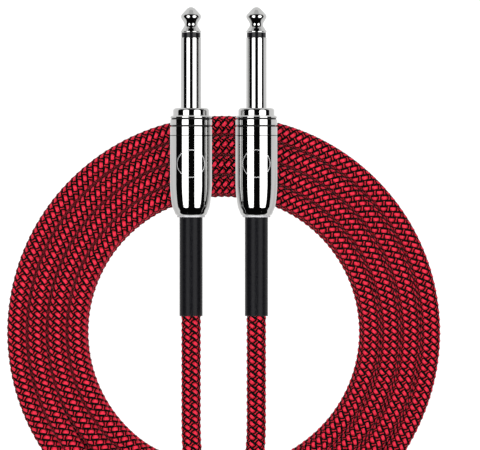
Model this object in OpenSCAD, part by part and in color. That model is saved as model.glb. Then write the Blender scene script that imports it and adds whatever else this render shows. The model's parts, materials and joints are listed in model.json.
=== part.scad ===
// Instrument cable with a woven jacket and two straight quarter-inch mono plugs, coiled for storage.
// The coil lies flat on z = 0 about the origin. Both plugs lie across it and point along +Y.
// Each plug is drawn along its own axis, where r is the distance from the axis and the length is the
// world y, so a plug's outlines read as [r, y] pairs.

/* [Cable] */
// Diameter over the woven jacket
cord_d = 6.2; // [6:0.1:6.2]
// Distance between neighbouring turns, side to side and layer to layer
turn_pitch = 6.25; // [6.25:0.01:6.3]
// Centreline radius of the outermost turn
outer_turn_r = 64.8; // [64.5:0.1:65]
// Turns side by side in each layer
turns_across = 4; // [4:1:4]

/* [Plug contacts] */
// Diameter of the sleeve contact and of the tip
contact_d = 6.35; // [6.3:0.01:6.35]
// Shoulder that meets the jack
shoulder_y = 70.1; // [70:0.1:70.2]
// Front edge of the sleeve contact
sleeve_front_y = 92.1; // [92:0.1:92.2]
// Front edge of the black insulating ring
ring_front_y = 93.6; // [93.4:0.1:93.8]
// Front of the tip
tip_y = 101.6; // [101.5:0.1:101.8]
// Diameter of the rod that carries the tip
rod_d = 2.4; // [2:0.1:2.4]

/* [Plug body] */
// Diameter of the barrel and of the grooved front ring
barrel_d = 13; // [13:0.1:13.1]
// Diameter of the collar behind the shoulder
collar_d = 11.25; // [11:0.05:11.5]
// Back of the collar, where the grooved ring starts
collar_back_y = 67.7; // [67.6:0.1:67.8]
// Joint between the grooved ring and the barrel
barrel_front_y = 61.5; // [61.4:0.1:61.6]
// Back of the barrel
barrel_back_y = 36.6; // [36.5:0.1:36.7]
// Diameter of the screw thread inside the barrel
thread_d = 10.4; // [10.2:0.1:10.4]
// Advance of the barrel for each turn
thread_pitch = 0.75; // [0.5:0.05:0.75]
// Diameter of the fine circle engraved on the barrel
circle_d = 8.8; // [8:0.1:8.8]

/* [Strain relief] */
// Diameter of the black sleeve shrunk on the cable
strain_d = 7.2; // [7.2:0.1:7.3]
// Free end of the black sleeve, where the bare cable comes out
strain_end_y = 5.2; // [5:0.1:5.4]

/* [Layout] */
// Sideways distance of each plug's axis from the middle
plug_x = 10.2; // [10:0.1:10.4]
// Gap between the barrels and the turns they lie on
rest_gap = 0.15; // [0.1:0.05:0.3]

/* [Hidden] */
$fn = 64;
cord_r = cord_d / 2;
coil_h = cord_d + turn_pitch;
coil_out_r = outer_turn_r + cord_r;
coil_in_r = outer_turn_r - (turns_across - 1) * turn_pitch - cord_r;
axis_z = coil_h + rest_gap + barrel_d / 2;

contact_r = contact_d / 2;
rod_r = rod_d / 2;
barrel_r = barrel_d / 2;
thread_r = thread_d / 2;
strain_r = strain_d / 2;
run_fit = 0.05;
tube_r = 2.1;
hub_bore_r = tube_r + run_fit;
hub_r = 4.5;

// Grooves round the front ring
groove_y = [64.5, 66.75];
groove_w = 0.56;
groove_depth = 0.35;

// Stack on the back of the threaded hub, from the hub backwards
hub_back_y = barrel_front_y - 4.5;
lug_t = 0.6;
washer_t = 0.8;
ground_lug_y = hub_back_y - lug_t;
washer_y = ground_lug_y - washer_t;
tip_lug_y = washer_y - lug_t;
ground_tongue_r = 3.8;
ground_tongue_w = 2.8;
tip_tongue_r = 1.8;
tip_tongue_w = 2.2;

// Barrel inside
cavity_r = thread_r + run_fit;
cavity_back_y = 42;
rear_bore_r = 4;
liner_r = thread_r;
liner_t = 0.35;
strain_start_y = 40.5;
bushing_front_y = 40;
flange_r = 4.35;
flange_t = 0.6;
circle_y = 52.7;
circle_w = 0.25;
circle_depth = 0.08;

// Cable end inside the plug
jacket_end_y = 47.5;
clamp_y = [43, 46.5];
core_r = 1.5;
core_end_y = 50.5;
wire_r = 0.4;
shield_r = 0.5;

// Route of each tail from its plug to the coil, as the control points of a cubic B-spline.
// The first point is inside the strain sleeve and the second is the sleeve's end.
route_a = [
    [-10.2, 15.2, 19.1], [-10.2, 5.2, 19.1], [-10.2, -4.8, 19.1], [-10.2, -15, 19.2],
    [-10.2, -25, 19.8], [-10.2, -35.5, 20.8], [-8.8, -46, 21.9], [-3.5, -55, 22.4],
    [5, -61.5, 21.3], [15.5, -64.5, 18.4], [26, -63, 15.2], [36, -57.5, 12.5],
    [44.5, -49.5, 10.5], [51, -41, 9.5], [56.5, -32.5, 9.35]
];
route_b = [
    [10.2, 15.2, 19.1], [10.2, 5.2, 19.1], [10.2, -4.8, 19.1], [10.2, -15, 18.6],
    [10.2, -25, 17.6], [10.2, -35, 16.5], [8.8, -45, 15.6], [4, -53.5, 15.6],
    [-4, -59.5, 15.6], [-14, -62, 15.6], [-24, -60.5, 15.6], [-32.5, -55, 15.6],
    [-39.5, -47.5, 14.9], [-45, -39, 12.6], [-50.5, -30.5, 10.3], [-54.5, -22, 9.35]
];
tail_sides = 12;
tail_step = 0.5;

// ---- Helpers ----

// Stand a plug's own axis along world +Y; what is at +Y before the turn ends up underneath.
module plug_a() { translate([-plug_x, 0, axis_z]) rotate([-90, 0, 0]) children(); }
module plug_b() { translate([plug_x, 0, axis_z]) rotate([-90, 0, 0]) children(); }

// Solid of revolution about the plug's axis, from [r, y] points
module turned(outline) { rotate_extrude() polygon(outline); }

// Plain ring about the plug's axis
module ring(r_in, r_out, y0, y1) {
    turned([[r_in, y0], [r_out, y0], [r_out, y1], [r_in, y1]]);
}

// Flat strip along the plug below its axis, between two lengths
module tongue(depth, w, t, y0, y1) {
    translate([-w / 2, depth, y0]) cube([w, t, y1 - y0]);
}

// Round wire from one point to another in the plug's middle plane; points are [depth, y]
module wire(r, from, to) {
    run = to - from;
    translate([0, from[0], from[1]])
        rotate([-atan2(run[0], run[1]), 0, 0])
            cylinder(r = r, h = norm(run), $fn = 32);
}

// Cubic B-spline through a list of control points, and its direction; t counts control points
function blend4(a, w) = a[0] * w[0] + a[1] * w[1] + a[2] * w[2] + a[3] * w[3];
function four(pts, i) = [for (k = [0:3]) pts[i + k]];
function span(pts, t) = min(floor(t), len(pts) - 4);
function spline(pts, t) = let (i = span(pts, t), u = t - i)
    blend4(four(pts, i), [
        pow(1 - u, 3), 3 * pow(u, 3) - 6 * u * u + 4, -3 * pow(u, 3) + 3 * u * u + 3 * u + 1, pow(u, 3)
    ]) / 6;
function heading(pts, t) = let (i = span(pts, t), u = t - i)
    unit(blend4(four(pts, i), [
        -pow(1 - u, 2), 3 * u * u - 4 * u, -3 * u * u + 2 * u + 1, u * u
    ]));
function unit(v) = v / norm(v);

// One ring of a swept tube, square to the route
function tube_ring(pts, t) = let (
    here = spline(pts, t),
    ahead = heading(pts, t),
    side = unit(cross(ahead, [0, 0, 1])),
    over = cross(side, ahead)
) [for (k = [0:tail_sides - 1]) let (a = 360 * k / tail_sides)
    here + cord_r * (cos(a) * side + sin(a) * over)];

// Closed tube along a route
module swept(pts) {
    rings = (len(pts) - 3) / tail_step;
    n = tail_sides;
    points = [for (j = [0:rings]) each tube_ring(pts, j * tail_step)];
    walls = [for (j = [0:rings - 1], k = [0:n - 1]) let (m = (k + 1) % n)
        each [[j * n + k, (j + 1) * n + k, (j + 1) * n + m], [j * n + k, (j + 1) * n + m, j * n + m]]];
    first = [for (k = [0:n - 1]) k];
    last = [for (k = [0:n - 1]) rings * n + n - 1 - k];
    polyhedron(points, concat(walls, [first, last]), convexity = 6);
}

// ---- Cable ----

// Outer shape of the coil: the turns lie side by side in two layers
module cord_coil() {
    color("crimson") rotate_extrude($fn = 128) {
        translate([coil_in_r + cord_r, 0]) square([coil_out_r - coil_in_r - cord_d, coil_h]);
        translate([coil_in_r, cord_r]) square([coil_out_r - coil_in_r, coil_h - cord_d]);
        for (x = [coil_in_r + cord_r, coil_out_r - cord_r], y = [cord_r, coil_h - cord_r])
            translate([x, y]) circle(r = cord_r);
    }
}

module cord_tail_a() { color("crimson") swept(route_a); }
module cord_tail_b() { color("crimson") swept(route_b); }

// ---- Contacts ----

// Tip with its waist and the rod that runs back through the plug to a riveted head
module tip_contact() {
    rivet_r = 1.7;
    color("gainsboro") turned([
        [0, tip_lug_y - lug_t], [rivet_r, tip_lug_y - lug_t], [rivet_r, tip_lug_y],
        [rod_r, tip_lug_y], [rod_r, ring_front_y],
        [contact_r - 0.15, ring_front_y], [contact_r, ring_front_y + 0.15],
        [contact_r, ring_front_y + 0.4], [2.55, 95.0], [2.15, 95.6], [2.03, 96.1], [2.15, 96.6],
        [2.5, 97.2], [contact_r - 0.1, 98.3], [contact_r, 98.6], [contact_r - 0.12, 98.9],
        [1.75, 100.6], [1.2, 101.15], [0.6, 101.5], [0, tip_y]
    ]);
}

// Black ring between the tip and the sleeve contact
module tip_insulator() {
    color("black") ring(rod_r + run_fit, 3, sleeve_front_y, ring_front_y);
}

// Insulating tube between the rod and the sleeve contact
module inner_tube() {
    color("ivory") ring(rod_r + run_fit, tube_r, ground_lug_y, sleeve_front_y);
}

// Sleeve contact, shoulder collar and threaded hub, turned from one piece of brass
module sleeve_contact() {
    edge = 0.9;
    root = 0.3;
    color("gainsboro") difference() {
        turned([
            [hub_bore_r, hub_back_y], [thread_r, hub_back_y], [thread_r, barrel_front_y],
            [hub_r, barrel_front_y], [hub_r, collar_back_y],
            [collar_d / 2, collar_back_y], [collar_d / 2, shoulder_y - edge],
            [collar_d / 2 - 0.12, shoulder_y - 0.45], [collar_d / 2 - 0.4, shoulder_y - 0.15],
            [collar_d / 2 - edge, shoulder_y], [contact_r, shoulder_y],
            [contact_r, sleeve_front_y - 0.15], [contact_r - 0.15, sleeve_front_y],
            [hub_bore_r, sleeve_front_y]
        ]);
        // thread roots
        for (k = [1:5]) let (y = hub_back_y + k * thread_pitch)
            turned([[thread_r - root, y], [thread_r + 1, y - root - 1], [thread_r + 1, y + root + 1]]);
    }
}

// Front ring pressed on behind the collar, with its two grooves
module front_ring() {
    color("gainsboro") difference() {
        turned([
            [hub_r, barrel_front_y], [barrel_r - 0.1, barrel_front_y], [barrel_r, barrel_front_y + 0.1],
            [barrel_r, collar_back_y - 0.35], [barrel_r - 0.35, collar_back_y], [hub_r, collar_back_y]
        ]);
        for (y = groove_y)
            ring(barrel_r - groove_depth, barrel_r + 1, y - groove_w / 2, y + groove_w / 2);
    }
}

// ---- Solder lugs ----

// Ground lug: an eyelet against the hub, a tongue, and a clamp bent round the jacket
module ground_lug() {
    color("goldenrod") difference() {
        union() {
            ring(hub_bore_r, ground_tongue_r + 0.8, ground_lug_y, hub_back_y);
            tongue(ground_tongue_r, ground_tongue_w, lug_t, clamp_y[0], hub_back_y);
            intersection() {
                ring(cord_r, cord_r + lug_t, clamp_y[0], clamp_y[1]);
                translate([-5, -1.2, clamp_y[0]]) cube([10, 7, clamp_y[1] - clamp_y[0]]);
            }
            tongue(cord_r + 0.1, ground_tongue_w, ground_tongue_r - cord_r, clamp_y[0], clamp_y[1]);
        }
        translate([0, 0, jacket_end_y - 6]) cylinder(r = cord_r, h = 6);
    }
}

// Insulating washer between the two lugs
module rear_washer() {
    color("sienna") ring(rod_r + run_fit, 3.7, washer_y, ground_lug_y);
}

// Tip lug: an eyelet under the rod's head, and a tongue for the centre wire
module tip_lug() {
    color("goldenrod") {
        ring(rod_r, 2.4, tip_lug_y, washer_y);
        tongue(tip_tongue_r, tip_tongue_w, lug_t, core_end_y, washer_y);
    }
}

// ---- Cable end inside the plug ----

// Jacketed cable inside the strain sleeve and the clamp
module cable_end() {
    color("crimson") translate([0, 0, strain_end_y]) cylinder(r = cord_r, h = jacket_end_y - strain_end_y);
}

module core_insulation() {
    color("white") translate([0, 0, jacket_end_y]) cylinder(r = core_r, h = core_end_y - jacket_end_y);
}

// Centre conductor, bent down to the tip lug
module centre_wire() {
    color("chocolate") difference() {
        wire(wire_r, [0.2, core_end_y - 0.1], [1.4, 53.4]);
        core_insulation();
    }
}

// Shield strands twisted into a tail
module shield_tail() {
    color("chocolate") difference() {
        wire(shield_r, [2.2, jacket_end_y - 0.3], [3.1, 49.6]);
        cable_end();
    }
}

// Solder joints, each a bead on its lug's tongue with the wire's end inside
module tip_solder() {
    color("silver") difference() {
        translate([0, 1.4, 53.2]) sphere(r = 0.9);
        tongue(tip_tongue_r, tip_tongue_w, lug_t, core_end_y, washer_y);
    }
}

module ground_solder() {
    color("silver") difference() {
        translate([0, 3.2, 49.3]) sphere(r = 1);
        tongue(ground_tongue_r, ground_tongue_w, lug_t, clamp_y[0], hub_back_y);
    }
}

// Black sleeve shrunk on the cable, from inside the barrel to the bare cable
module strain_sleeve() {
    lip = 0.15;
    color("black") turned([
        [cord_r, strain_end_y], [strain_r - lip, strain_end_y], [strain_r, strain_end_y + lip],
        [strain_r, strain_start_y], [cord_r, strain_start_y]
    ]);
}

// ---- Moving pieces ----

// Insulating liner, loose in the barrel
module liner() {
    color("whitesmoke") ring(liner_r - liner_t, liner_r, cavity_back_y + 0.2, hub_back_y - 0.4);
}

// Bushing in the barrel's back end, a running fit in the barrel and on the strain sleeve
module rear_bushing() {
    bore_r = strain_r + 2 * run_fit;
    color("darkgray") turned([
        [bore_r, barrel_back_y - flange_t], [flange_r - 0.15, barrel_back_y - flange_t],
        [flange_r, barrel_back_y - flange_t + 0.15], [flange_r, barrel_back_y],
        [rear_bore_r - run_fit, barrel_back_y], [rear_bore_r - run_fit, bushing_front_y],
        [bore_r, bushing_front_y]
    ]);
}

// Fine circle engraved on top of the barrel
module engraved_circle() {
    intersection() {
        ring(barrel_r - circle_depth, barrel_r + 1, circle_y - circle_d, circle_y + circle_d);
        translate([0, 0, circle_y]) rotate([90, 0, 0]) difference() {
            cylinder(d = circle_d, h = 2 * barrel_r);
            cylinder(d = circle_d - 2 * circle_w, h = 2 * barrel_r);
        }
    }
}

// Barrel: screws off the hub and slides back along the cable
module barrel() {
    color("gainsboro") difference() {
        turned([
            [rear_bore_r, barrel_back_y], [4.5, barrel_back_y], [4.85, barrel_back_y + 0.25],
            [5.25, 37.8], [5.75, 39], [6.1, 41], [6.35, 43.4], [barrel_r, 46],
            [barrel_r, barrel_front_y - 0.1], [barrel_r - 0.1, barrel_front_y],
            [cavity_r, barrel_front_y], [cavity_r, cavity_back_y], [rear_bore_r, cavity_back_y]
        ]);
        engraved_circle();
    }
}

// ---- Output ----

cord_coil();
cord_tail_a();
cord_tail_b();

plug_a() tip_contact();  // tip_contact_a
plug_a() tip_insulator();  // tip_insulator_a
plug_a() inner_tube();  // inner_tube_a
plug_a() sleeve_contact();  // sleeve_contact_a
plug_a() front_ring();  // front_ring_a
plug_a() ground_lug();  // ground_lug_a
plug_a() rear_washer();  // rear_washer_a
plug_a() tip_lug();  // tip_lug_a
plug_a() cable_end();  // cable_end_a
plug_a() core_insulation();  // core_insulation_a
plug_a() centre_wire();  // centre_wire_a
plug_a() shield_tail();  // shield_tail_a
plug_a() tip_solder();  // tip_solder_a
plug_a() ground_solder();  // ground_solder_a
plug_a() strain_sleeve();  // strain_sleeve_a
plug_a() liner();  // liner_a
plug_a() rear_bushing();  // rear_bushing_a
plug_a() barrel();  // barrel_a

plug_b() tip_contact();  // tip_contact_b
plug_b() tip_insulator();  // tip_insulator_b
plug_b() inner_tube();  // inner_tube_b
plug_b() sleeve_contact();  // sleeve_contact_b
plug_b() front_ring();  // front_ring_b
plug_b() ground_lug();  // ground_lug_b
plug_b() rear_washer();  // rear_washer_b
plug_b() tip_lug();  // tip_lug_b
plug_b() cable_end();  // cable_end_b
plug_b() core_insulation();  // core_insulation_b
plug_b() centre_wire();  // centre_wire_b
plug_b() shield_tail();  // shield_tail_b
plug_b() tip_solder();  // tip_solder_b
plug_b() ground_solder();  // ground_solder_b
plug_b() strain_sleeve();  // strain_sleeve_b
plug_b() liner();  // liner_b
plug_b() rear_bushing();  // rear_bushing_b
plug_b() barrel();  // barrel_b
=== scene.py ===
"""Instrument cable: a coiled, woven-jacket cable with two polished quarter-inch plugs."""
import json
import math

import bpy
import numpy as np
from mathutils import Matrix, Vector


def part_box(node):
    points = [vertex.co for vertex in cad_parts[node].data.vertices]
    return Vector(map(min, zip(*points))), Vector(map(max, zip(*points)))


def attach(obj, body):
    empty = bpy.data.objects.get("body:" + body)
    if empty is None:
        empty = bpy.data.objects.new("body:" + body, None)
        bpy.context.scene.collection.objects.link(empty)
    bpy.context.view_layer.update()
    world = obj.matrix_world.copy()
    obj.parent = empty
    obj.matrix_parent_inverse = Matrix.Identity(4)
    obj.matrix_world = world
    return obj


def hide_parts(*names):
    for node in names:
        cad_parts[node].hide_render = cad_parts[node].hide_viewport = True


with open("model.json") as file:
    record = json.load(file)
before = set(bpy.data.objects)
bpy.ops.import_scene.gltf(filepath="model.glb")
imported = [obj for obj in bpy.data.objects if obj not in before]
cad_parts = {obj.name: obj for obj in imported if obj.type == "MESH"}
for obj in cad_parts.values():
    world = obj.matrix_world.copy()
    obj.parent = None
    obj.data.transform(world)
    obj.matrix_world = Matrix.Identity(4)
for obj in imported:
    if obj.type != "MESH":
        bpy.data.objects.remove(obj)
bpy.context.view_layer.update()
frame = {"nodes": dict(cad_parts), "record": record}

MM = 0.001
PLUGS = ("a", "b")

# ---- Sizes, in millimetres as in the part's source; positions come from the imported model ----

CORD_D = 6.2
TURN_PITCH = 6.25
TURNS_ACROSS = 4
CORD_R = CORD_D / 2
BARREL_R = 6.5
# The fine circle on each barrel: radius, line width, place along the plug, height over the surface
CIRCLE_R, CIRCLE_W, CIRCLE_Y, CIRCLE_PROUD = 4.4, 0.25, 52.7, 0.012
COIL_OUT_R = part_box("cord_coil")[1][0] / MM
OUTER_TURN_R = COIL_OUT_R - CORD_R

# Control points of the two tails, from each plug to the coil
ROUTE_A = [
    (-10.2, 15.2, 19.1), (-10.2, 5.2, 19.1), (-10.2, -4.8, 19.1), (-10.2, -15, 19.2),
    (-10.2, -25, 19.8), (-10.2, -35.5, 20.8), (-8.8, -46, 21.9), (-3.5, -55, 22.4),
    (5, -61.5, 21.3), (15.5, -64.5, 18.4), (26, -63, 15.2), (36, -57.5, 12.5),
    (44.5, -49.5, 10.5), (51, -41, 9.5), (56.5, -32.5, 9.35),
]
ROUTE_B = [
    (10.2, 15.2, 19.1), (10.2, 5.2, 19.1), (10.2, -4.8, 19.1), (10.2, -15, 18.6),
    (10.2, -25, 17.6), (10.2, -35, 16.5), (8.8, -45, 15.6), (4, -53.5, 15.6),
    (-4, -59.5, 15.6), (-14, -62, 15.6), (-24, -60.5, 15.6), (-32.5, -55, 15.6),
    (-39.5, -47.5, 14.9), (-45, -39, 12.6), (-50.5, -30.5, 10.3), (-54.5, -22, 9.35),
]

# The coil's path in degrees about +Z, and the stretch of each turn where it changes lane
COIL_START, COIL_END, COIL_STEP = 340, 3070, 10
SHIFT_START, SHIFT_END = 235, 305
# How far a turn swings past its lane where the cable changes layer, to clear the turn it passes
BULGE = 4.2
# The lower turns lie a little further in, so the floor doesn't show between the turns
LOWER_SHIFT = -0.6

# Braid: columns of wide floats run along the cable, and their strands wind round it
WEAVE_PERIOD = 2.17
COLUMNS = 7
S_STARTS, Z_STARTS = 6, 8
VALLEY_R = 2.66
S_HEIGHT, Z_HEIGHT = 0.48, 0.3
# How far a wide float swells over its neighbours, in strand widths
FLOAT_SWELL = 0.2
# Shares of the cable's length: the coil lies between the first two; along each tail the braid
# turns from the angle at the plug to the coil's angle, starting at the second pair
COIL_SHARE, TWIST_SHARE = (0.045, 0.955), (0.01, 0.99)
# In degrees: the first column's angle from straight up on the coil, and its turn along tail b
COIL_LEAD, TAIL_B_TURN = 22, 21

# The photograph's frame: the point at its middle and its width at the height of the plugs
VIEW_X, VIEW_Y = 5.08, 33.6
VIEW_WIDTH, PLUG_HEIGHT = 150, 15


# ---- Camera: straight down, with a long lens ----

def make_camera():
    cam = bpy.data.cameras.new("camera")
    cam.lens, cam.sensor_width = 600, 36
    cam.clip_start, cam.clip_end = 0.1, 20
    ob = bpy.data.objects.new("camera", cam)
    distance = VIEW_WIDTH * MM * cam.lens / cam.sensor_width
    ob.location = (VIEW_X * MM, VIEW_Y * MM, PLUG_HEIGHT * MM + distance)
    bpy.context.collection.objects.link(ob)
    bpy.context.scene.camera = ob


# ---- Cord route ----

def ease(t):
    """From 0 to 1 with no kink at either end."""
    t = min(max(t, 0.0), 1.0)
    return t * t * t * (10 - 15 * t + 6 * t * t)


def lanes():
    """Radius and height of each turn's lane in the order the cable runs through them."""
    radius = [OUTER_TURN_R - k * TURN_PITCH for k in range(TURNS_ACROSS)]
    low, high = CORD_R, CORD_R + TURN_PITCH
    down = [(radius[0], high)] + [(r + LOWER_SHIFT, low) for r in radius]
    up = [(r, high) for r in radius[:0:-1]]
    return down + up


def coil_point(degrees, order):
    """Radius and height at an angle along the coil. A change of lane lies in one short stretch."""
    turn = math.floor((degrees - SHIFT_START) / 360)
    if turn < 1:
        return order[0]
    now, then = order[turn - 1], order[min(turn, len(order) - 1)]
    t = ease((degrees - 360 * turn - SHIFT_START) / (SHIFT_END - SHIFT_START))
    radius = now[0] + (then[0] - now[0]) * t
    if now[1] != then[1]:
        outward = 1 if now[0] == order[0][0] else -1
        radius += outward * BULGE * math.sin(math.pi * t)
    return radius, now[1] + (then[1] - now[1]) * t


def cord_controls():
    """Control points from plug a to plug b.

    The coil's lie a little outside its lanes, so that the curve itself runs in them."""
    order = lanes()
    swell = 6 / (4 + 2 * math.cos(math.radians(COIL_STEP)))
    coil = []
    for degrees in range(COIL_START, COIL_END + 1, COIL_STEP):
        radius, height = coil_point(degrees, order)
        a = math.radians(degrees)
        coil.append((radius * swell * math.cos(a), radius * swell * math.sin(a), height))
    return np.array(ROUTE_A + coil + ROUTE_B[::-1]) * MM


def spline(controls, per_span=16):
    """Points of a uniform cubic B-spline."""
    u = np.arange(per_span) / per_span
    w = np.stack([(1 - u) ** 3, 3 * u ** 3 - 6 * u ** 2 + 4,
                  -3 * u ** 3 + 3 * u ** 2 + 3 * u + 1, u ** 3], axis=1) / 6
    spans = [w @ controls[i:i + 4] for i in range(len(controls) - 3)]
    last = (controls[-3] + 4 * controls[-2] + controls[-1]) / 6
    return np.vstack(spans + [last[None]])


def unit(v):
    """Rows of v at length 1."""
    return v / np.linalg.norm(v, axis=1, keepdims=True)


def along(points):
    """Distance along a line of points."""
    return np.concatenate([[0], np.cumsum(np.linalg.norm(np.diff(points, axis=0), axis=1))])


def column_angle(points, s):
    """Angle from straight up of the first column of wide floats.

    It creeps on by one column in each turn of the coil."""
    step = 360 / COLUMNS
    length = s[-1]
    bearing = np.degrees(np.unwrap(np.arctan2(points[:, 1], points[:, 0])))
    start, end = COIL_SHARE[0] * length, COIL_SHARE[1] * length
    begin, finish = np.interp([start, end], s, bearing)
    on_coil = np.where(s < start, begin, np.where(s > end, finish, bearing))
    creep = (on_coil - begin) * step / 360
    lead = np.interp(s, [TWIST_SHARE[0] * length, start, end, TWIST_SHARE[1] * length],
                     [step / 2, COIL_LEAD, COIL_LEAD, COIL_LEAD + TAIL_B_TURN])
    return np.radians(lead + creep)


# ---- Cord mesh: a braid of two families of strands, laid out on the strands' own lattice ----

# Edges of the faces of one crossing: a runs across the S strand and b across the Z strand
A_EDGES = np.array([-0.5, -0.42, -0.13, 0.16, 0.33, 0.5])
B_EDGES = np.array([-0.5, -0.42, -0.2, 0.2, 0.42, 0.5])
# Share of the full height at those edges, where the S strand or the Z strand is on top
S_RISE = np.outer([0, 0.75, 1, 0.55, 0.6, 0], [0, 0.7, 1, 1, 0.7, 0])
Z_RISE = np.outer([0, 0.7, 1, 1, 0.8, 0], [0, 0.9, 0.8, 0.8, 0.9, 0])
# Yarns between the edges: 0 red, 1 black, 2 the same red yarn darkened, as painted shade on the
# floats' flanks and on the Z strands that lie lower. The black on each crossing's outer edges is
# painted shade in the gaps between strands; the rest of the black is the braid's black yarn.
ALL_BLACK, MID_PAINTED_SHADE = [1, 1, 1, 1, 1], [1, 1, 2, 1, 1]
S_YARNS = np.array([ALL_BLACK, [1, 2, 0, 2, 1], [1, 2, 0, 0, 1], ALL_BLACK, ALL_BLACK])
Z_YARNS = np.array([ALL_BLACK, MID_PAINTED_SHADE, MID_PAINTED_SHADE, MID_PAINTED_SHADE, ALL_BLACK])


def braid(points):
    """Vertices, faces and slots of the braid along the route, all by arrays."""
    s = along(points) / MM
    ahead = unit(np.gradient(points, axis=0))
    up = np.array([0.0, 0.0, 1.0])
    over = unit(up - (ahead @ up)[:, None] * ahead)
    side = np.cross(ahead, over)
    turned = column_angle(points, s)

    around = 2 * COLUMNS
    rows = np.arange(-S_STARTS - 1, int(s[-1] / WEAVE_PERIOD) + 1)
    n = len(A_EDGES) - 1

    # one crossing for each S strand (i) and each place around the cable (c); j is the Z strand
    i, c = (g.ravel() for g in np.meshgrid(rows, np.arange(around), indexing="ij"))
    j = i + c
    s_on_top = c % 2 == 0
    u, v = (g.ravel() for g in np.meshgrid(np.arange(n + 1), np.arange(n + 1), indexing="ij"))
    f_s = (i[:, None] + A_EDGES[u]).ravel()
    f_z = (j[:, None] + B_EDGES[v]).ravel()
    f_z += FLOAT_SWELL * np.cos(np.pi * f_s) * np.sin(np.pi * f_z)
    round_turn = (f_z - f_s) / around
    length = (Z_STARTS * f_s + S_STARTS * f_z) / around * WEAVE_PERIOD
    height = np.where(s_on_top[:, None], S_HEIGHT * S_RISE[u, v],
                      Z_HEIGHT * Z_RISE[u, v]).ravel()

    # the lattice closes round the cable: corners one whole turn apart are one vertex
    grid_s = (i[:, None] * n + u).ravel()
    grid_z = (j[:, None] * n + v).ravel()
    wrap = np.floor((grid_z - grid_s) / (around * n)).astype(int)
    key = np.stack([grid_s + S_STARTS * n * wrap, grid_z - Z_STARTS * n * wrap], axis=1)
    _, first, same = np.unique(key, axis=0, return_index=True, return_inverse=True)
    same = same.ravel()

    raw = length[first]
    at = np.clip(raw, 0, s[-1])
    angle = 2 * np.pi * round_turn[first] + np.interp(at, s, turned)
    radius = (VALLEY_R + height[first]) * MM
    centre, top, left = (np.stack([np.interp(at, s, w[:, k]) for k in range(3)], axis=1)
                         for w in (points, over, side))
    outward = np.cos(angle)[:, None] * top - np.sin(angle)[:, None] * left
    verts = centre + radius[:, None] * outward

    corner = same.reshape(len(i), n + 1, n + 1)
    faces = np.stack([corner[:, :-1, :-1], corner[:, 1:, :-1],
                      corner[:, 1:, 1:], corner[:, :-1, 1:]], axis=-1).reshape(-1, 4)
    yarns = np.where(s_on_top[:, None, None], S_YARNS, Z_YARNS).reshape(-1)
    # faces wholly past either end are left out
    keep = (raw[faces] > 0).any(axis=1) & (raw[faces] < s[-1]).any(axis=1)
    used, faces = np.unique(faces[keep], return_inverse=True)
    return verts[used], faces.reshape(-1, 4), yarns[keep]


def mesh_object(name, verts, faces, slots=None, materials=()):
    mesh = bpy.data.meshes.new(name)
    mesh.vertices.add(len(verts))
    mesh.vertices.foreach_set("co", np.asarray(verts, dtype=np.float32).ravel())
    mesh.loops.add(faces.size)
    mesh.loops.foreach_set("vertex_index", faces.astype(np.int32).ravel())
    mesh.polygons.add(len(faces))
    mesh.polygons.foreach_set("loop_start", np.arange(len(faces), dtype=np.int32) * faces.shape[1])
    for material in materials:
        mesh.materials.append(material)
    if slots is not None:
        mesh.polygons.foreach_set("material_index", slots.astype(np.int32))
    mesh.update(calc_edges=True)
    mesh.validate()
    mesh.polygons.foreach_set("use_smooth", np.ones(len(mesh.polygons), dtype=bool))
    ob = bpy.data.objects.new(name, mesh)
    bpy.context.collection.objects.link(ob)
    return ob


# ---- Materials ----

def material(name, **values):
    """A Principled material with constant values on the shader's own sockets."""
    mat = bpy.data.materials.new(name)
    mat.use_nodes = True
    shader = mat.node_tree.nodes["Principled BSDF"]
    for key, value in values.items():
        socket = shader.inputs[key.replace("_", " ")]
        socket.default_value = (*value, 1) if isinstance(value, tuple) else value
    return mat, shader


def noise_bump(mat, shader, scale, strength, distance):
    tree = mat.node_tree
    coords = tree.nodes.new("ShaderNodeTexCoord")
    noise = tree.nodes.new("ShaderNodeTexNoise")
    noise.inputs["Scale"].default_value = scale
    noise.inputs["Detail"].default_value = 4
    bump = tree.nodes.new("ShaderNodeBump")
    bump.inputs["Strength"].default_value = strength
    bump.inputs["Distance"].default_value = distance
    tree.links.new(coords.outputs["Object"], noise.inputs["Vector"])
    tree.links.new(noise.outputs["Fac"], bump.inputs["Height"])
    tree.links.new(bump.outputs["Normal"], shader.inputs["Normal"])
    return noise


def noise_roughness(mat, shader, noise, low, high):
    """Roughness from low to high over the noise's usual range."""
    tree = mat.node_tree
    span = tree.nodes.new("ShaderNodeMapRange")
    span.inputs["From Min"].default_value = 0.3
    span.inputs["From Max"].default_value = 0.7
    span.inputs["To Min"].default_value = low
    span.inputs["To Max"].default_value = high
    tree.links.new(noise.outputs["Fac"], span.inputs["Value"])
    tree.links.new(span.outputs["Result"], shader.inputs["Roughness"])


def yarn(name, colour):
    mat, shader = material(name, Base_Color=colour, Roughness=0.6)
    shader.inputs["Specular IOR Level"].default_value = 0.02
    noise = noise_bump(mat, shader, 4000, 0.5, 0.05 * MM)
    noise_roughness(mat, shader, noise, 0.5, 0.7)
    return mat


def plating(name):
    mat, shader = material(name, Base_Color=(0.46, 0.46, 0.455), Metallic=1.0, Roughness=0.04)
    noise = noise_bump(mat, shader, 600, 0.01, 0.01 * MM)
    noise_roughness(mat, shader, noise, 0.02, 0.06)
    return mat


def plastic(name, colour, rough, bump, specular=0.5):
    mat, shader = material(name, Base_Color=colour, Roughness=rough)
    shader.inputs["Specular IOR Level"].default_value = specular
    noise = noise_bump(mat, shader, 900, bump, 0.03 * MM)
    noise_roughness(mat, shader, noise, rough * 0.8, rough * 1.2)
    return mat


def metal(name, colour, rough):
    mat, shader = material(name, Base_Color=colour, Metallic=1.0, Roughness=rough)
    noise = noise_bump(mat, shader, 1500, 0.1, 0.05 * MM)
    noise_roughness(mat, shader, noise, rough * 0.7, rough * 1.3)
    return mat


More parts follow.
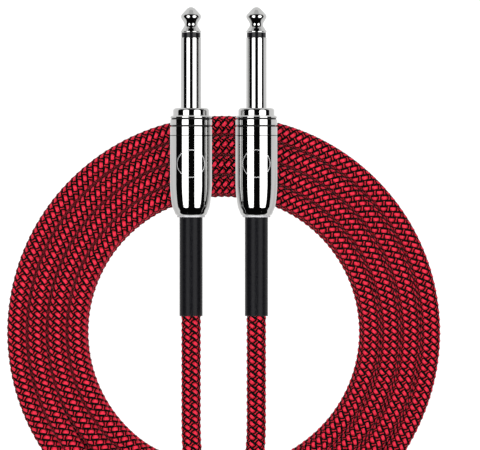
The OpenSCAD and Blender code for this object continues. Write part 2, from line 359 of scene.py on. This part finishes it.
MATERIALS = {
    "plated_contact": plating("plated_contact"),
    "plated_body": plating("plated_body"),
    "black_ring": plastic("black_ring", (0.004, 0.004, 0.005), 0.06, 0.02, 0.25),
    "black_sleeve": plastic("black_sleeve", (0.004, 0.004, 0.005), 0.28, 0.1, 0.1),
    "natural_plastic": plastic("natural_plastic", (0.72, 0.7, 0.62), 0.45, 0.1),
    "fibre_washer": plastic("fibre_washer", (0.22, 0.09, 0.045), 0.6, 0.4),
    "brass_lug": metal("brass_lug", (0.78, 0.58, 0.27), 0.3),
    "copper_wire": metal("copper_wire", (0.8, 0.42, 0.27), 0.3),
    "solder": metal("solder", (0.62, 0.62, 0.63), 0.25),
    "grey_bushing": plastic("grey_bushing", (0.4, 0.4, 0.41), 0.3, 0.05),
    "woven_jacket": plastic("woven_jacket_end", (0.3, 0.01, 0.02), 0.7, 0.3),
}
# Dark metal for the grooves and joint lines: painted shade in these recesses.
GROOVE_PAINTED_SHADE = metal("groove", (0.03, 0.03, 0.03), 0.4)
ETCHED = metal("etched_line", (0.62, 0.62, 0.62), 0.45)


# ---- Pieces ----

def make_cord():
    points = spline(cord_controls())
    red = yarn("yarn_red", (0.53, 0.022, 0.046))
    # Black yarn, also used as painted shade in the gaps along each crossing's edges.
    black = yarn("yarn_black_and_painted_gap_shade", (0.002, 0.0022, 0.0022))
    # The same red yarn darkened: painted shade on the floats' flanks and on the lower Z strands.
    painted_shade_red = yarn("yarn_red_painted_shade", (0.36, 0.010, 0.021))
    verts, faces, slots = braid(points)
    cord = mesh_object("woven_cord", verts, faces, slots, (red, black, painted_shade_red))
    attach(cord, "cable")
    cord.visible_glossy = False  # the plugs mirror only the pale studio, as in the photo
    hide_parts("cord_coil", "cord_tail_a", "cord_tail_b")


# ---- Turned plug pieces: closed outlines as [radius, distance along the plug] in millimetres ----

# Edges of a turned piece sharper than this, in degrees, stay sharp
SHARP_ANGLE = 32


def support(outline, gap=0.12):
    """Adds points next to the corners of long straight runs, so their faces shade flat."""
    out = []
    for k, here in enumerate(outline):
        there = outline[(k + 1) % len(outline)]
        run = math.dist(here, there)
        out.append(here)
        if run > 4 * gap:
            for t in (gap / run, 1 - gap / run):
                out.append((here[0] + (there[0] - here[0]) * t, here[1] + (there[1] - here[1]) * t))
    return out


def plug_axis(plug):
    """X and z of a plug's axis in millimetres."""
    low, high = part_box("barrel_" + plug)
    return (low[0] + high[0]) / 2 / MM, high[2] / MM - BARREL_R


def turned(node, body, outline, finish, grooves=(), circle=False):
    """A turned piece in place of a CAD node; grooves are (from, to) lengths whose faces get a dark
    metal as painted shade.
    """
    outline = support(outline)
    segments, m = 192, len(outline)
    x0, z0 = plug_axis(node[-1])
    a = np.arange(segments) * 2 * np.pi / segments
    r = np.array([p[0] for p in outline])
    y = np.array([p[1] for p in outline])
    verts = np.stack([x0 + r[:, None] * np.sin(a), np.broadcast_to(y[:, None], (m, segments)),
                      z0 + r[:, None] * np.cos(a)], axis=-1).reshape(-1, 3)
    k, q = (g.ravel() for g in np.meshgrid(np.arange(m), np.arange(segments), indexing="ij"))
    k2, q2 = (k + 1) % m, (q + 1) % segments
    faces = np.stack([k * segments + q, k2 * segments + q,
                      k2 * segments + q2, k * segments + q2], axis=1)
    middle = (y[k] + y[k2]) / 2
    slots = np.zeros(len(faces), dtype=int)
    for low, high in grooves:
        slots[(middle > low) & (middle < high)] = 1
    materials = [MATERIALS[finish], GROOVE_PAINTED_SHADE]
    if circle:
        more_verts, more_faces = circle_strip(x0, z0)
        faces = np.vstack([faces, more_faces + len(verts)])
        slots = np.concatenate([slots, np.full(len(more_faces), 2)])
        verts = np.vstack([verts, more_verts])
        materials.append(ETCHED)
    ob = mesh_object("turned_" + node, verts * MM, faces, slots, materials)
    ob.data.set_sharp_from_angle(angle=math.radians(SHARP_ANGLE))
    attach(ob, body)
    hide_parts(node)


def circle_strip(x0, z0):
    """The fine circle on top of the barrel, as a thin strip just over its surface."""
    n = 128
    a = np.arange(n) * 2 * np.pi / n
    rings = []
    for r in (CIRCLE_R - CIRCLE_W, CIRCLE_R - CIRCLE_W / 2, CIRCLE_R):
        x = r * np.cos(a)
        rings.append(np.stack([x0 + x, CIRCLE_Y + r * np.sin(a),
                               z0 + np.sqrt((BARREL_R + CIRCLE_PROUD) ** 2 - x ** 2)], axis=1))
    k, q = (g.ravel() for g in np.meshgrid(np.arange(2), np.arange(n), indexing="ij"))
    q2 = (q + 1) % n
    faces = np.stack([k * n + q, (k + 1) * n + q, (k + 1) * n + q2, k * n + q2], axis=1)
    return np.vstack(rings), faces


def thread(y0, count, pitch, r, root):
    """Outline points of a thread, drawn as rings."""
    out = []
    for k in range(1, count + 1):
        y = y0 + k * pitch
        out += [(r, y - root), (r - root, y), (r, y + root)]
    return out


def make_plug(plug):
    cable, guide, cover = "cable", "guide_" + plug, "cover_" + plug
    turned("tip_contact_" + plug, cable, [
        (0.001, 55.0), (1.7, 55.0), (1.7, 55.6), (1.2, 55.6), (1.2, 93.6), (3.025, 93.6),
        (3.175, 93.75), (3.175, 94.0), (2.86, 94.5), (2.55, 95.0), (2.32, 95.3), (2.15, 95.6),
        (2.05, 95.9), (2.03, 96.1), (2.05, 96.3), (2.15, 96.6), (2.3, 96.9), (2.5, 97.2),
        (2.83, 97.72), (3.02, 98.02), (3.13, 98.3), (3.175, 98.6), (3.13, 98.92), (3.0, 99.2),
        (2.8, 99.45), (1.75, 100.6), (1.2, 101.15), (0.6, 101.5), (0.25, 101.585), (0.001, 101.6),
    ], "plated_contact")
    turned("tip_insulator_" + plug, cable, [
        (1.25, 92.1), (2.9, 92.1), (3.0, 92.2), (3.0, 93.5), (2.9, 93.6), (1.25, 93.6),
    ], "black_ring")
    hub_thread = thread(57.0, 5, 0.75, 5.2, 0.3)
    turned("sleeve_contact_" + plug, cable, [(2.15, 57.0), (5.2, 57.0)] + hub_thread + [
        (5.2, 61.5), (4.5, 61.5), (4.5, 67.7), (5.625, 67.7), (5.625, 69.2), (5.6, 69.45),
        (5.505, 69.65), (5.38, 69.82), (5.225, 69.95), (5.0, 70.05), (4.725, 70.1), (3.175, 70.1),
        (3.175, 91.95), (3.14, 92.05), (3.025, 92.1), (2.15, 92.1),
    ], "plated_contact")
    turned("front_ring_" + plug, cable, [
        (4.5, 61.5), (6.4, 61.5), (6.5, 61.6), (6.5, 64.22), (6.15, 64.22), (6.15, 64.78),
        (6.5, 64.78), (6.5, 66.47), (6.15, 66.47), (6.15, 67.03), (6.5, 67.03), (6.5, 67.35),
        (6.15, 67.7), (4.5, 67.7),
    ], "plated_body", [(64.2, 64.8), (66.46, 67.04), (61.45, 61.58)])
    turned("barrel_" + plug, cover, [
        (4.0, 36.6), (4.5, 36.6), (4.7, 36.68), (4.85, 36.85), (5.05, 37.25), (5.25, 37.8),
        (5.52, 38.4), (5.75, 39.0), (5.95, 40.0), (6.1, 41.0), (6.24, 42.2), (6.35, 43.4),
        (6.44, 44.7), (6.5, 46.0), (6.5, 61.4), (6.4, 61.5), (5.25, 61.5), (5.25, 42.0),
        (4.0, 42.0),
    ], "plated_body", [(61.42, 61.55)], circle=True)
    turned("strain_sleeve_" + plug, cable, [
        (3.1, 5.2), (3.45, 5.2), (3.55, 5.24), (3.6, 5.35), (3.6, 40.5), (3.1, 40.5),
    ], "black_sleeve")
    turned("rear_bushing_" + plug, guide, [
        (3.7, 36.0), (4.2, 36.0), (4.31, 36.04), (4.35, 36.15), (4.35, 36.6), (3.95, 36.6),
        (3.95, 40.0), (3.7, 40.0),
    ], "grey_bushing")


def dress_cad_nodes():
    """Gives each node the finish of its record's slot."""
    slots = {s["node"]: s["material_slot"] for s in frame["record"]["subparts"]}
    for node, ob in frame["nodes"].items():
        finish = MATERIALS.get(slots[node])
        if finish is None:
            continue
        for slot in ob.material_slots:
            slot.material = finish


# ---- Studio ----

def area_light(name, place, turn, width, length, radiance, shape="RECTANGLE"):
    """A light whose face has the given radiance."""
    data = bpy.data.lights.new(name, "AREA")
    data.shape = shape
    data.size, data.size_y = width, length
    data.energy = radiance * width * length * math.pi
    ob = bpy.data.objects.new(name, data)
    ob.location, ob.rotation_euler = place, turn
    bpy.context.collection.objects.link(ob)
    return ob


def softbox(name, low, high, radiance):
    """A long softbox over the object, between two angles from straight up, positive towards +X."""
    distance, half_length, middle_y = 1.2, 0.86, 0.05
    middle = math.radians((low + high) / 2)
    width = 2 * distance * math.tan(math.radians((high - low) / 2))
    place = (distance * math.sin(middle), middle_y, distance * math.cos(middle))
    box = area_light(name, place, (0, middle, 0), width, 2 * half_length, radiance, "ELLIPSE")
    box.visible_diffuse = False  # it shapes the plugs' highlights; the fills light the cable


def fill(name, place, turn, radiance):
    """A soft light that the polished parts don't mirror."""
    size = 0.5
    light = area_light(name, place, turn, size, size, radiance)
    light.visible_glossy = False


def make_floor():
    half = 4.0
    verts = np.array([(-half, -half, 0), (half, -half, 0), (half, half, 0), (-half, half, 0)])
    floor = mesh_object("floor", verts, np.array([[0, 1, 2, 3]]))
    mat, shader = material("floor", Base_Color=(0.1, 0.1, 0.1), Roughness=0.9)
    shader.inputs["Emission Color"].default_value = (1, 1, 1, 1)
    shader.inputs["Emission Strength"].default_value = 0.98
    shader.inputs["Specular IOR Level"].default_value = 0.0
    floor.data.materials.append(mat)


def make_world():
    """Pale to the camera and dim to all else, so that the polished parts keep their black bands."""
    world = bpy.data.worlds.new("studio")
    bpy.context.scene.world = world
    world.use_nodes = True
    tree = world.node_tree
    background = tree.nodes["Background"]
    path = tree.nodes.new("ShaderNodeLightPath")
    mix = tree.nodes.new("ShaderNodeMix")
    mix.data_type = "RGBA"
    mix.inputs["A"].default_value = (0.004, 0.004, 0.004, 1)
    mix.inputs["B"].default_value = (0.95, 0.95, 0.95, 1)
    tree.links.new(path.outputs["Is Camera Ray"], mix.inputs["Factor"])
    tree.links.new(mix.outputs["Result"], background.inputs["Color"])


def make_studio():
    make_floor()
    make_world()
    softbox("softbox_left", -50, -14, 2.5)
    softbox("softbox_right", 19, 62, 2.5)
    fill_distance, lean = 1.6, math.radians(38)
    for bearing in (45, 135, 225, 315):
        a = math.radians(bearing)
        place = Vector((math.cos(a) * math.sin(lean), math.sin(a) * math.sin(lean), math.cos(lean)))
        turn = place.to_track_quat("Z", "Y").to_euler()
        fill(f"fill_{bearing}", place * fill_distance, turn, 8.5)
    fill("fill_overhead", (0, 0.03, fill_distance), (0, 0, 0), 33.0)
    area_light("far_card", (0, 1.6, 0.27), (math.radians(-90), 0, 0), 2.6, 0.5, 0.8)
    settings = bpy.context.scene.view_settings
    settings.view_transform = "Standard"
    settings.look = "None"


make_camera()
make_cord()
for plug in PLUGS:
    make_plug(plug)
dress_cad_nodes()
make_studio()
